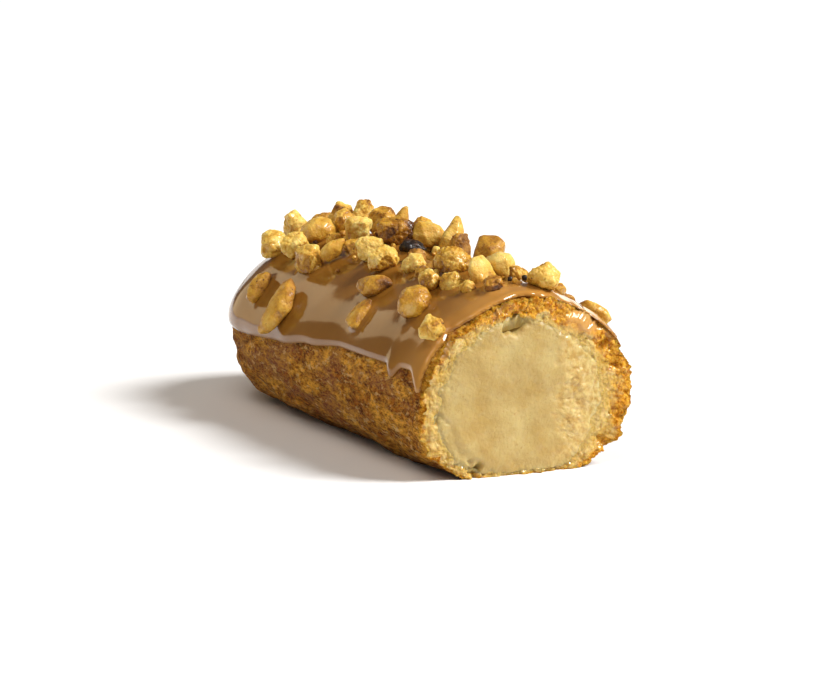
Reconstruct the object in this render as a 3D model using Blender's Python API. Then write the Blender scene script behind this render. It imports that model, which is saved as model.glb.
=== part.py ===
"""Iced eclair with chopped nuts, one end cut off so that the cream shows.

The loaf lies along X: its rounded end points to -X and its cut end to +X.
The origin is the middle of the flat underside. Lengths are in metres.
"""
import math
import random

import bmesh
import bpy
from mathutils import Matrix, Vector, noise
from mathutils.bvhtree import BVHTree

MM = 0.001

# Pastry. The underside is given for the left and the right side
LENGTH = 113 * MM
HALF_WIDTH = 24 * MM
HEIGHT = 36.0 * MM
WAIST = 16 * MM
UNDER = (18.5 * MM, 19.5 * MM)
SQUARENESS_UP = 1.75
SQUARENESS_DOWN = (2.4, 1.9)
CUT_X = LENGTH / 2
END_X = HALF_WIDTH - CUT_X

# Unevenness of the pastry
SWELL, SWELL_LENGTH = 0.7 * MM, 26 * MM
BUMP, BUMP_LENGTH = 0.45 * MM, 7.5 * MM
CRAG, CRAG_LENGTH = 1.3 * MM, 4.2 * MM
CRAG_ZONE = 2.6 * MM
BARE_TO = math.radians(14)
TORN = 0.8 * MM

# Hollow that the cream fills: nearer the left side, where the pastry is thin
HOLLOW_HALF = 16.4 * MM
HOLLOW_TOP = 29.6 * MM
HOLLOW_WAIST = 15 * MM
HOLLOW_UNDER = 14.5 * MM
HOLLOW_SQUARENESS_UP, HOLLOW_SQUARENESS_DOWN = 2.0, 2.3
HOLLOW_FLOOR = 1.1 * MM
HOLLOW_SHIFT = -2.2 * MM
HOLLOW_END_WALL = 7 * MM
HOLLOW_SET_BACK = 0.4 * MM
HOLLOW_BUMP, HOLLOW_BUMP_LENGTH = 0.8 * MM, 9 * MM
CREAM_RINGS = (0, 0.18, 0.42, 0.7, 1)
CREAM_BULGE, CREAM_BULGE_LENGTH = 0.5 * MM, 8 * MM
GAP = 0.3 * MM

# Torn holes in the crumb at the cut: side, elevation in degrees, share of the way to the cream,
# radius and depth in mm
TEARS = (
    (1, 30, 0.40, 4.4, 4.2),
    (1, 4, 0.35, 3.8, 3.4),
    (1, -24, 0.55, 3.0, 2.4),
    (1, 74, 0.60, 3.0, 2.6),
    (-1, 84, 0.80, 3.4, 3.4),
    (-1, 46, 0.55, 3.0, 2.0),
    (-1, -8, 0.60, 3.2, 2.4),
    (-1, -48, 0.50, 3.0, 3.0),
)
CRUMB_DEPTH, CRUMB_LENGTH = 1.5 * MM, 4.4 * MM

# Icing
ICING_TOP = 1.0 * MM
ICING_LIP = 1.5 * MM
ICING_BACK = 2.7 * MM
ICING_NEARER = 1.6 * MM
ICING_EDGE_GAP = 0.3 * MM
ICING_EDGE_END, ICING_EDGE_WAVE = 16.4, 0.5
ICING_EDGE_LEFT = ((-33, 16.4), (-9, 17.8), (3, 19.4), (18, 21.0), (56, 21.6))
ICING_EDGE_RIGHT = ((-33, 16.4), (-12, 19.6), (8, 20.2), (30, 22.2), (56, 24.0))
ICING_DRIPS = (
    ("left", 41.5, 1.9, 2.4),
    ("left", 53.2, 2.6, 3.6),
    ("right", 34.0, 2.6, 4.0),
    ("right", 6.0, 3.2, 3.0),
    ("right", -17.0, 2.4, 2.6),
)

# Larger nut pieces, in mm and degrees: name, kind, x, y, long, wide, high, heading, tilt
NUTS = (
    ("half_long", "half", -11.5, -21.4, 13.6, 7.0, 3.8, 90, 0),
    ("slab_brown", "chunk", -26.5, -20.0, 7.4, 3.8, 3.2, 90, 0),
    ("chunk_back_left", "chunk", -35, -13.0, 6.4, 6.0, 5.8, 20, 10),
    ("block_pale", "chunk", -24, -12.6, 5.8, 5.4, 7.4, 20, 0),
    ("round_olive", "round", -28.4, -6.4, 7.8, 7.2, 5.2, 60, 0),
    ("chunk_back_pale", "chunk", -39.3, -6.4, 5.4, 5.4, 7, 15, 0),
    ("chunk_back_brown", "chunk", -40.5, -0.2, 5.4, 4.8, 4.8, 60, 0),
    ("chunk_golden", "chunk", -15.6, -13.4, 9.8, 6.4, 5.0, -5, 0),
    ("horn_golden", "spike", -10.5, -10.0, 3.8, 3.6, 6.6, 70, 70),
    ("flake_seed", "flake", -8.6, -6.8, 6.2, 4.0, 3.0, 50, 20),
    ("chunk_ridge_tan_low", "chunk", -27, -1.4, 5.0, 4.6, 5.8, 10, 0),
    ("chunk_ridge_end", "chunk", -34.6, 0.8, 5.4, 5, 6.4, 30, 8),
    ("chunk_ridge_cream", "chunk", -16.5, -2.6, 6.4, 5.6, 6.2, 40, 0),
    ("chunk_ridge_pale", "chunk", -30, 3.2, 5.2, 4.8, 8.2, -25, 0),
    ("chunk_ridge_tan", "chunk", -23, 4.4, 5.6, 5.2, 8.2, 10, 6),
    ("chunk_dark", "chunk", -6.5, 0.2, 8.8, 6.4, 6.6, 55, 0),
    ("pyramid_tan", "spike", -16.6, 5.2, 4.8, 4.2, 9.2, 0, 4),
    ("chunk_cream", "chunk", 0, -7, 5.6, 4.8, 6.4, 55, 10),
    ("chunk_sparkling", "chunk", 7.6, -7.9, 7.4, 5.8, 5.4, -50, 10),
    ("flake_burnt", "flake", 3.0, 0.2, 6.4, 4.2, 2.8, 20, 10),
    ("curved_golden", "half", -2.5, 5.4, 9.8, 5.0, 6.6, 62, 8),
    ("strip_tan", "flake", -12, 7.8, 7, 4.6, 7.8, 0, 0),
    ("spike_golden", "spike", 4, 7, 6.8, 5.8, 11.2, 0, -6),
    ("curved_brown", "half", 15.6, -13.8, 9.6, 5.0, 4.0, 22, 0),
    ("flake_pointed", "flake", 20.4, -18.8, 7.6, 4.6, 2.2, 100, 0),
    ("crisp_pale", "crisp", 17, -5.8, 6.0, 5.4, 4.2, 0, 0),
    ("knob_golden", "chunk", 14, 4.6, 4.6, 4.4, 7.4, 0, 0),
    ("cluster_olive", "crisp", 28.5, -3.0, 8.2, 6.8, 6.2, 10, 0),
    ("crisp_speckled", "crisp", 33.6, -9.6, 5.4, 5.0, 5.0, 0, 0),
    ("round_glassy", "round", 38.4, -14.7, 7.2, 7.4, 5.6, 0, 0),
    ("chunk_brown", "chunk", 26.5, 5, 8, 6.4, 8.2, -15, 0),
    ("flake_standing", "flake", 41.5, -2.8, 7.6, 5.8, 3.0, 30, 72),
    ("chunk_front_pale", "chunk", 39.8, 1.6, 5.6, 5.0, 5.4, 15, 0),
    ("cluster_crest", "crisp", 50.8, 4.9, 8.0, 7.6, 6.0, 0, 0),
    ("flake_shoulder", "flake", 46.5, 17.8, 7.4, 5.0, 2.8, 25, 0),
    ("chunk_speckled", "chunk", 51.3, -17.2, 6.2, 5.8, 4.2, -30, 0),
)

# Smaller nut pieces fused to the icing, in mm: x, y, long, wide, high, heading
CRUMBS = (
    (10.6, -2.6, 4.2, 3.6, 3.4, 0),
    (22.3, -2.4, 3.4, 3.2, 3.6, 0),
    (23.5, -7.0, 3.2, 3.0, 2.8, 30),
    (38.8, -7.8, 5.2, 4.4, 3.6, 40),
    (44.5, -7.2, 3.2, 2.8, 2.6, 0),
    (49.0, -3.8, 5.8, 4.0, 3.0, -20),
    (45.2, 2.0, 3.0, 2.6, 3.8, 0),
    (35.0, 2.0, 3.2, 3.0, 3.4, 0),
    (-21.0, -6.4, 3.4, 3.0, 2.4, 20),
    (-41.0, 6.0, 4.0, 4.0, 3.4, 50),
)

# Nut pieces of the far side, which are scattered by a rule
FAR_SEED = 11
FAR_ROWS = ((12.5, 7, 5.2), (18.5, 5, 4.4))
FAR_FROM, FAR_TO = -36, 42
FAR_KINDS = ("chunk", "chunk", "round", "flake", "crisp")
FAR_CRUMBS = 16
NUT_GAP = 0.25 * MM
RISE, RISE_STEPS = 0.4 * MM, 20
SEATED, CRUMB_SEATED = 0.42, 0.25
CRUMB_SUNK = 0.9 * MM
KEPT_SHARE = 0.35

# Mesh fineness
SIDE_STEPS = 25
SHELL_STATIONS, SHELL_FAN = 28, 12
HOLLOW_STATIONS, HOLLOW_FAN = 7, 6
FACE_BANDS = 5
ICING_STATIONS, ICING_FAN, ICING_STEPS = 32, 10, 9

COLOURS = {
    "choux": (0.42, 0.20, 0.06, 1),
    "cream": (0.72, 0.52, 0.27, 1),
    "icing": (0.23, 0.11, 0.045, 1),
    "nut": (0.66, 0.42, 0.15, 1),
}
ROUGHNESS = {"choux": 0.75, "cream": 0.5, "icing": 0.12, "nut": 0.55}


def smooth_step(low, high, value):
    """0 below low, 1 above high, and smooth between."""
    t = min(1.0, max(0.0, (value - low) / (high - low)))
    return t * t * (3 - 2 * t)


def wave(place, length, offset=0.0):
    """Smooth noise from about -1 to 1, with lumps of the given length."""
    return noise.noise(place / length + Vector((offset, 3.1 * offset, 7.7)))


class Loaf:
    """A tube along X whose section is turned half round at its far end."""

    def __init__(self, half, top, waist, under, up, down, floor, end_x, shift=0.0):
        self.half, self.top, self.waist, self.under = half, top, waist, under
        self.up, self.down = up, down
        self.floor, self.end_x, self.shift = floor, end_x, shift

    def reach(self, turn, angle):
        """Axis to surface, at an elevation angle. turn is -90 degrees at the left, 90 at the right."""
        right = turn / math.pi + 0.5
        low = self.under[0] + (self.under[1] - self.under[0]) * right
        down = self.down[0] + (self.down[1] - self.down[0]) * right
        rise = self.top - self.waist if angle >= 0 else low
        power = self.up if angle >= 0 else down
        across = abs(math.cos(angle)) / self.half
        along = abs(math.sin(angle)) / rise
        return (across ** power + along ** power) ** (-1 / power)

    def outward(self, turn, angle):
        """Unit direction from the axis to the surface."""
        flat = math.cos(angle)
        return Vector((-math.cos(turn) * flat, math.sin(turn) * flat, math.sin(angle)))

    def point(self, x, turn, angle, lift=None):
        """Surface point of the section at x, moved out by what lift gives for it."""
        out = self.outward(turn, angle)
        axis = Vector((x, self.shift, self.waist))
        reach = self.reach(turn, angle)
        if lift is not None:
            reach += lift(axis + out * reach, angle)
        place = axis + out * reach
        place.z = max(place.z, self.floor)
        return place

    def angle_at(self, height):
        """Elevation angle at which the upper surface has this height."""
        rise = (height - self.waist) / (self.top - self.waist)
        across = self.half * max(0.0, 1 - max(0.0, rise) ** self.up) ** (1 / self.up)
        return math.atan2(height - self.waist, across)

    def locate(self, x, y):
        """Station, turn and elevation angle of the upper surface over a point in plan."""
        if x >= self.end_x:
            station, turn, across = x, math.copysign(math.pi / 2, y), abs(y)
        else:
            station, turn = self.end_x, math.atan2(y, self.end_x - x)
            across = math.hypot(self.end_x - x, y)
        share = min(0.999, across / self.half)
        rise = (self.top - self.waist) * (1 - share ** self.up) ** (1 / self.up)
        return station, turn, math.atan2(rise, across)


def hollow_loaf(inset):
    """The hollow's shape, or the cream's, which is smaller all round by the inset."""
    under = HOLLOW_UNDER - inset
    return Loaf(
        HOLLOW_HALF - inset,
        HOLLOW_TOP - inset,
        HOLLOW_WAIST,
        (under, under),
        HOLLOW_SQUARENESS_UP,
        (HOLLOW_SQUARENESS_DOWN, HOLLOW_SQUARENESS_DOWN),
        HOLLOW_FLOOR + inset,
        HOLLOW_END_WALL + HOLLOW_HALF - CUT_X,
        HOLLOW_SHIFT,
    )


PASTRY = Loaf(HALF_WIDTH, HEIGHT, WAIST, UNDER, SQUARENESS_UP, SQUARENESS_DOWN, 0.0, END_X)
HOLLOW = hollow_loaf(0)
FILLING = hollow_loaf(GAP)


def swell(place, angle):
    """The loaf's slow unevenness, which the icing follows too."""
    return SWELL * wave(place, SWELL_LENGTH)


def bareness(angle):
    """1 on the bare side of the loaf, falling to 0 where the icing covers it."""
    return 1 - smooth_step(0, BARE_TO, angle)


def crust(place, angle):
    """Unevenness of the baked surface: bumps below the icing and crags at the cut rim."""
    bare = bareness(angle)
    zone = CRAG_ZONE * (0.2 + 0.8 * bare)
    rim = smooth_step(CUT_X - zone, CUT_X, place.x)
    return (
        swell(place, angle)
        + BUMP * bare * wave(place, BUMP_LENGTH, offset=5)
        + CRAG * rim * wave(place, CRAG_LENGTH, offset=9)
    )


def hollow_wall(place, angle):
    """Unevenness of the hollow that the cream fills."""
    return HOLLOW_BUMP * wave(place, HOLLOW_BUMP_LENGTH, offset=21)


def spread(low, high, steps, power=1.0):
    """Values from low to high, closer together near high where power is over 1."""
    return [high - (high - low) * (1 - i / steps) ** power for i in range(steps + 1)]


def ribs(end_x, cut_x, stations, fan):
    """Pairs of station and turn: up the left side, round the far end, down the right side."""
    xs = spread(end_x, cut_x, stations, 1.35)
    left = [(x, -math.pi / 2) for x in reversed(xs)]
    turned = [(end_x, math.pi * (i / fan - 0.5)) for i in range(1, fan)]
    right = [(x, math.pi / 2) for x in xs]
    return left + turned + right


def elevations(low, high, steps):
    """Angles from high down to low."""
    return [high - (high - low) * i / steps for i in range(steps + 1)]


def add_grid(mesh, rows):
    """Adds quads between neighbouring rows of points."""
    verts = [[mesh.verts.new(p) for p in row] for row in rows]
    for upper, lower in zip(verts, verts[1:]):
        for i in range(len(upper) - 1):
            mesh.faces.new((upper[i], upper[i + 1], lower[i + 1], lower[i]))


def close_up(mesh):
    """Welds the seams, drops what collapsed there, and points every face outward."""
    bmesh.ops.remove_doubles(mesh, verts=mesh.verts, dist=0.001 * MM)
    bmesh.ops.dissolve_degenerate(mesh, edges=mesh.edges, dist=0.001 * MM)
    bmesh.ops.recalc_face_normals(mesh, faces=mesh.faces)


def make_material(name):
    """The material of one kind of sub-part."""
    material = bpy.data.materials.get(name) or bpy.data.materials.new(name)
    material.use_nodes = True
    shader = material.node_tree.nodes["Principled BSDF"]
    shader.inputs["Base Color"].default_value = COLOURS[name]
    shader.inputs["Roughness"].default_value = ROUGHNESS[name]
    shader.inputs["Metallic"].default_value = 0.0
    return material


def make_object(name, mesh, collection, material, smooth=True):
    """An object from a bmesh, linked to the collection."""
    data = bpy.data.meshes.new(name)
    mesh.to_mesh(data)
    mesh.free()
    if smooth:
        data.shade_smooth()
    data.materials.append(make_material(material))
    ob = bpy.data.objects.new(name, data)
    collection.objects.link(ob)
    return ob


def tear_places():
    """Middle, radius and depth of each torn hole in the crumb."""
    found = []
    for side, elevation, share, radius, depth in TEARS:
        turn, angle = side * math.pi / 2, math.radians(elevation)
        outer, inner = (loaf.point(CUT_X, turn, angle) for loaf in (PASTRY, HOLLOW))
        found.append((outer.lerp(inner, share), radius * MM, depth * MM))
    return found


def torn(place, share, tears):
    """A point of the cut face with the torn crumb's relief. share is 0 at the crust, 1 at the cream."""
    middle = math.sin(math.pi * share)
    back = HOLLOW_SET_BACK * share
    back += CRUMB_DEPTH * middle * max(0.0, 0.3 + wave(place, CRUMB_LENGTH, offset=33))
    back += TORN * (1 - share) * max(0.0, 0.5 + wave(place, CRAG_LENGTH, offset=51))
    for centre, radius, depth in tears:
        back += depth * middle * (1 - smooth_step(0.3 * radius, radius, (place - centre).length))
    return place - Vector((back, 0, 0))


def build_shell(collection):
    """The baked choux with its hollow, closed at the far end."""
    mesh = bmesh.new()
    angles = elevations(-math.pi / 2, math.pi / 2, SIDE_STEPS)
    tears = tear_places()
    rims = []
    for loaf, lift, stations, fan, share in (
        (PASTRY, crust, SHELL_STATIONS, SHELL_FAN, 0),
        (HOLLOW, hollow_wall, HOLLOW_STATIONS, HOLLOW_FAN, 1),
    ):
        rows = [
            [loaf.point(x, turn, a, lift) for a in angles]
            for x, turn in ribs(loaf.end_x, CUT_X, stations, fan)
        ]
        rims.append((rows[0], rows[-1]))
        for i in (0, -1):
            rows[i] = [torn(p, share, tears) for p in rows[i]]
        add_grid(mesh, rows)
    for outer, inner in zip(*rims):
        bands = []
        for i in range(FACE_BANDS + 1):
            share = i / FACE_BANDS
            bands.append([torn(a.lerp(b, share), share, tears) for a, b in zip(outer, inner)])
        add_grid(mesh, bands)
    close_up(mesh)
    return make_object("choux_shell", mesh, collection, "choux")


def build_cream(collection):
    """The cream, which runs from the cut through the whole hollow."""
    mesh = bmesh.new()
    angles = elevations(-math.pi / 2, math.pi / 2, SIDE_STEPS)
    rows = [
        [FILLING.point(x, turn, a, hollow_wall) for a in angles]
        for x, turn in ribs(FILLING.end_x, CUT_X, HOLLOW_STATIONS, HOLLOW_FAN)
    ]
    add_grid(mesh, rows)
    middle = Vector((CUT_X, HOLLOW_SHIFT, HOLLOW_WAIST))
    for rim in (rows[0], rows[-1]):
        discs = []
        for share in CREAM_RINGS:
            disc = [p.lerp(middle, share) for p in rim]
            for p in disc:
                bulge = 0.6 + wave(p, CREAM_BULGE_LENGTH, offset=41)
                p.x += CREAM_BULGE * smooth_step(0, 0.5, share) * bulge
            discs.append(disc)
        centre = sum(p.x for p in discs[-1]) / len(discs[-1])
        for p in discs[-1]:
            p.x = centre
        add_grid(mesh, discs)
    close_up(mesh)
    return make_object("cream_filling", mesh, collection, "cream")


def edge_height(x, turn):
    """Height of the icing's lower edge, with its drips, at a station on one side."""
    if abs(turn) < math.pi / 2 - 0.001:
        return (ICING_EDGE_END + ICING_EDGE_WAVE * math.sin(4 * turn)) * MM
    side = "left" if turn < 0 else "right"
    knots = ICING_EDGE_LEFT if side == "left" else ICING_EDGE_RIGHT
    place = x / MM
    height = knots[-1][1]
    for (x0, z0), (x1, z1) in zip(knots, knots[1:]):
        if x0 <= place <= x1:
            height = z0 + (z1 - z0) * smooth_step(x0, x1, place)
            break
    for drip_side, centre, width, depth in ICING_DRIPS:
        if drip_side == side:
            height -= depth * math.exp(-(((place - centre) / width) ** 2))
    return height * MM


def icing_front(angle, turn):
    """Where the icing ends short of the cut: it comes nearer to it on the right side."""
    right = 0.5 + 0.5 * math.sin(turn) * math.cos(angle)
    return CUT_X - ICING_BACK + ICING_NEARER * right + 0.35 * MM * math.sin(9 * angle + turn)


def icing_thickness(down, ahead):
    """Thickness by the share of the way down to the edge, and the distance from the front."""
    body = ICING_TOP + (ICING_LIP - ICING_TOP) * smooth_step(0.5, 0.9, down)
    lip = math.sqrt(max(0.0, 1 - max(0.0, (down - 0.9) / 0.105) ** 2))
    front = 0.35 + 0.65 * smooth_step(0, 2.5 * MM, ahead)
    return body * max(0.25, lip) * front


def icing_gap(angle):
    """Space between pastry and icing."""
    return GAP + ICING_EDGE_GAP * bareness(angle)


def icing_row(x, share, turn, outer):
    """Points of one icing rib from the crown down to its edge, on its outer or inner face."""
    low = PASTRY.angle_at(edge_height(x, turn))
    row = []
    for i in range(ICING_STEPS + 1):
        down = 1 - (1 - i / ICING_STEPS) ** 1.25
        angle = math.pi / 2 + (low - math.pi / 2) * down
        station = END_X + (icing_front(angle, turn) - END_X) * share
        lift = icing_gap(angle)
        if outer:
            lift += icing_thickness(down, (1 - share) * (CUT_X - END_X))
        row.append(PASTRY.point(station, turn, angle, lambda p, a: crust(p, a) + lift))
    return row


def icing_ribs():
    """Station, share of the way to the front and turn of each icing rib."""
    front = CUT_X - ICING_BACK
    found = []
    for x, turn in ribs(END_X, front, ICING_STATIONS, ICING_FAN):
        found.append((x, (x - END_X) / (front - END_X), turn))
    return found


def build_icing(collection):
    """The icing: a thin closed skin over the crown, with a lip and drips at its edge."""
    mesh = bmesh.new()
    placed = icing_ribs()
    outer = [icing_row(x, share, turn, True) for x, share, turn in placed]
    inner = [icing_row(x, share, turn, False) for x, share, turn in placed]
    add_grid(mesh, outer)
    add_grid(mesh, inner)
    add_grid(mesh, [[row[-1] for row in outer], [row[-1] for row in inner]])
    add_grid(mesh, [outer[0], inner[0]])
    add_grid(mesh, [outer[-1], inner[-1]])
    close_up(mesh)
    return make_object("icing", mesh, collection, "icing")


def icing_lift(x, turn, angle):
    """Distance from the pastry's plain form to the icing's outer face."""
    low = PASTRY.angle_at(edge_height(x, turn))
    down = (math.pi / 2 - angle) / (math.pi / 2 - low)
    ahead = max(0.0, icing_front(angle, turn) - x)
    return icing_gap(angle) + icing_thickness(min(1.0, down), ahead)


def icing_point(x, turn, angle):
    """Point of the icing's outer face."""
    lift = icing_lift(x, turn, angle)
    return PASTRY.point(x, turn, angle, lambda p, a: crust(p, a) + lift)


def icing_surface(x, y):
    """Point and normal of the icing's outer face over a point in plan."""
    station, turn, angle = PASTRY.locate(x, y)
    place = icing_point(station, turn, angle)
    radial = PASTRY.outward(turn, angle)
    step = math.radians(1.5)
    rise = icing_point(station, turn, angle + step) - icing_point(station, turn, angle - step)
    sideways = Vector((math.sin(turn), math.cos(turn), 0))
    normal = rise.cross(sideways).normalized()
    if normal.dot(radial) < 0:
        normal.negate()
    return place, normal


def height_over_icing(place):
    """How far a point is from the icing's outer face, outward from the axis, and that direction."""
    axis = Vector((max(place.x, END_X), 0, WAIST))
    away = place - axis
    turn = math.atan2(away.y, -away.x) if place.x < END_X else math.copysign(math.pi / 2, away.y)
    angle = math.atan2(away.z, math.hypot(away.x, away.y))
    surface = icing_point(axis.x, turn, angle)
    return away.length - (surface - axis).length, away.normalized()


def sphere_points(count, rng, jitter):
    """Unit vectors spread evenly over a sphere and then jittered."""
    golden = math.pi * (3 - math.sqrt(5))
    found = []
    for i in range(count):
        z = 1 - 2 * (i + 0.5) / count
        r = math.sqrt(1 - z * z)
        p = Vector((r * math.cos(golden * i), r * math.sin(golden * i), z))
        p += Vector([rng.uniform(-jitter, jitter) for _ in range(3)])
        found.append(p.normalized())
    return found


def nut_points(kind, rng):
    """Points of a nut piece of unit size, whose convex hull is the piece."""
    count, jitter = {"round": (34, 0.1), "crisp": (30, 0.3), "half": (34, 0.06)}.get(kind, (22, 0.36))
    found = []
    for p in sphere_points(count, rng, jitter):
        if kind in ("chunk", "flake"):
            p = p * rng.uniform(0.94, 1.1)
            p = Vector([math.copysign(abs(v) ** 0.72, v) for v in p])
        elif kind == "spike":
            taper = 1 - 0.8 * smooth_step(-0.4, 1, p.z)
            p = Vector((p.x * taper, p.y * taper, p.z))
        elif kind == "half":
            p = Vector((p.x, p.y * (1 - 0.35 * p.x * p.x), max(p.z, -0.45)))
        elif kind == "crisp":
            p = p * rng.uniform(0.82, 1.12)
        found.append(p * 0.5)
    return found


def nut_mesh(kind, size, rng):
    """A nut piece as a closed bmesh about its own middle. size is long, wide, high."""
    mesh = bmesh.new()
    for p in nut_points(kind, rng):
        mesh.verts.new((p.x * size[0], p.y * size[1], p.z * size[2]))
    hull = bmesh.ops.convex_hull(mesh, input=mesh.verts)
    inside = [v for v in hull["geom_interior"] if isinstance(v, bmesh.types.BMVert)]
    bmesh.ops.delete(mesh, geom=inside, context="VERTS")
    if kind == "half":
        bend = 0.16 * size[0]
        for v in mesh.verts:
            v.co.y += bend * (4 * (v.co.x / size[0]) ** 2 - 0.4)
    return mesh


def seat(mesh, place, normal, heading, tilt):
    """Turns a nut piece to stand on the icing at this place."""
    ahead = Vector((1, 0, 0)) - normal * normal.x
    ahead.normalize()
    side = normal.cross(ahead)
    frame = Matrix((ahead, side, normal)).transposed().to_4x4()
    turned = Matrix.Rotation(heading, 4, "Z") @ Matrix.Rotation(tilt, 4, "Y")
    mesh.transform(Matrix.Translation(place) @ frame @ turned)


def press_on(mesh, clearance):
    """Moves what would be in the icing out to the given clearance from it."""
    for v in mesh.verts:
        height, out = height_over_icing(v.co)
        if height < clearance:
            v.co += out * (clearance - height)


def grown_tree(mesh, growth):
    """Search tree of the piece made larger all round."""
    mesh.normal_update()
    places = [v.co + v.normal * growth for v in mesh.verts]
    return BVHTree.FromPolygons(places, [[v.index for v in f.verts] for f in mesh.faces])


def touching(mesh, placed, gap):
    """The placed pieces that come nearer to this one than the gap."""
    mesh.verts.index_update()
    tree = grown_tree(mesh, gap)
    return [piece for piece in placed if tree.overlap(piece["tree"])]


def middle_of(places):
    """Mean of some points."""
    return sum(places, Vector()) / len(places)


def make_room(mesh, piece):
    """Flattens this piece where it meets a placed one. False if that would take too much of it."""
    own = middle_of([v.co for v in mesh.verts])
    axis = (own - middle_of(piece["places"])).normalized()
    limit = max(p.dot(axis) for p in piece["places"]) + NUT_GAP
    depth = own.dot(axis) - min(v.co.dot(axis) for v in mesh.verts)
    if limit > own.dot(axis) - KEPT_SHARE * depth:
        return False
    for v in mesh.verts:
        short = limit - v.co.dot(axis)
        if short > 0:
            v.co += axis * short
    return True


def keep(mesh, placed):
    """Adds a piece to the placed ones."""
    bmesh.ops.recalc_face_normals(mesh, faces=mesh.faces)
    mesh.verts.index_update()
    placed.append({"tree": grown_tree(mesh, 0), "places": [v.co.copy() for v in mesh.verts]})


def build_nut(row, rng, placed, collection):
    """One larger nut piece as its own object, flattened or raised until it clears the others."""
    name, kind, x, y, long, wide, high, heading, tilt = row
    spot, normal = icing_surface(x * MM, y * MM)
    unit = nut_mesh(kind, (long * MM, wide * MM, high * MM), rng)
    for step in range(RISE_STEPS):
        mesh = unit.copy()
        height = SEATED * high * MM + step * RISE
        seat(mesh, spot + normal * height, normal, math.radians(heading), math.radians(tilt))
        press_on(mesh, GAP)
        roomy = all([make_room(mesh, piece) for piece in touching(mesh, placed, NUT_GAP)])
        if roomy and not touching(mesh, placed, 0.5 * NUT_GAP):
            break
        mesh.free()
    else:
        unit.free()
        return None
    unit.free()
    keep(mesh, placed)
    return make_object(f"nut_{name}", mesh, collection, "nut", smooth=False)


def far_side_nuts(rng):
    """Rows like those of NUTS for the side away from the view."""
    number = 0
    for across, count, size in FAR_ROWS:
        for i in range(count):
            x = FAR_FROM + (FAR_TO - FAR_FROM) * (i + rng.uniform(0.2, 0.8)) / count
            y = across + rng.uniform(-1.8, 1.8)
            shape = [size * rng.uniform(low, high) for low, high in ((0.9, 1.5), (0.7, 1.1), (0.55, 0.9))]
            yield f"far_{number:02d}", rng.choice(FAR_KINDS), x, y, *shape, rng.uniform(0, 180), 0
            number += 1


def build_nuts(collection, placed):
    """All the larger nut pieces: those placed by hand, then those of the far side."""
    rng = random.Random(FAR_SEED)
    for row in (*NUTS, *far_side_nuts(rng)):
        build_nut(row, rng, placed, collection)


def far_side_crumbs(rng):
    """Rows like those of CRUMBS, scattered over the side away from the view."""
    for i in range(FAR_CRUMBS):
        x = FAR_FROM + (FAR_TO + 4 - FAR_FROM) * (i + rng.uniform(0.1, 0.9)) / FAR_CRUMBS
        size = rng.uniform(2.4, 3.8)
        yield x, rng.uniform(6.5, 21), size, 0.8 * size, 0.75 * size, rng.uniform(0, 180)


def fuse_crumbs(icing, placed):
    """Fuses the smaller nut pieces to the icing, leaving out any that a larger piece would touch."""
    rng = random.Random(FAR_SEED + 1)
    cutters = bpy.data.collections.new("eclair_crumbs")
    bpy.context.scene.collection.children.link(cutters)
    for i, (x, y, long, wide, high, heading) in enumerate((*CRUMBS, *far_side_crumbs(rng))):
        spot, normal = icing_surface(x * MM, y * MM)
        mesh = nut_mesh("chunk", (long * MM, wide * MM, high * MM), rng)
        seat(mesh, spot + normal * CRUMB_SEATED * high * MM, normal, math.radians(heading), 0.0)
        press_on(mesh, -CRUMB_SUNK)
        if not touching(mesh, placed, NUT_GAP):
            keep(mesh, placed)
            make_object(f"crumb_{i:02d}", mesh, cutters, "nut", smooth=False)
        else:
            mesh.free()
    union = icing.modifiers.new("crumbs", "BOOLEAN")
    union.operation = "UNION"
    union.operand_type = "COLLECTION"
    union.collection = cutters
    union.solver = "EXACT"
    evaluated = icing.evaluated_get(bpy.context.evaluated_depsgraph_get())
    joined = bpy.data.meshes.new_from_object(evaluated)
    icing.modifiers.clear()
    icing.data = joined
    for ob in list(cutters.objects):
        bpy.data.objects.remove(ob)
    bpy.data.collections.remove(cutters)


def main():
    """Builds the eclair in an empty scene."""
    for ob in list(bpy.data.objects):
        bpy.data.objects.remove(ob)
    collection = bpy.data.collections.new("eclair")
    bpy.context.scene.collection.children.link(collection)
    build_shell(collection)
    build_cream(collection)
    icing = build_icing(collection)
    placed = []
    build_nuts(collection, placed)
    fuse_crumbs(icing, placed)


main()
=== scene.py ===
"""Looks of the iced eclair: baked choux, cream at the cut, glossy icing and chopped nuts.

Lengths are in metres. The forms are those of the solids, on finer meshes and with finer relief.
"""
import math
import random

import bmesh
import bpy
from mathutils import Matrix, Vector, noise
from mathutils.kdtree import KDTree


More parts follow.
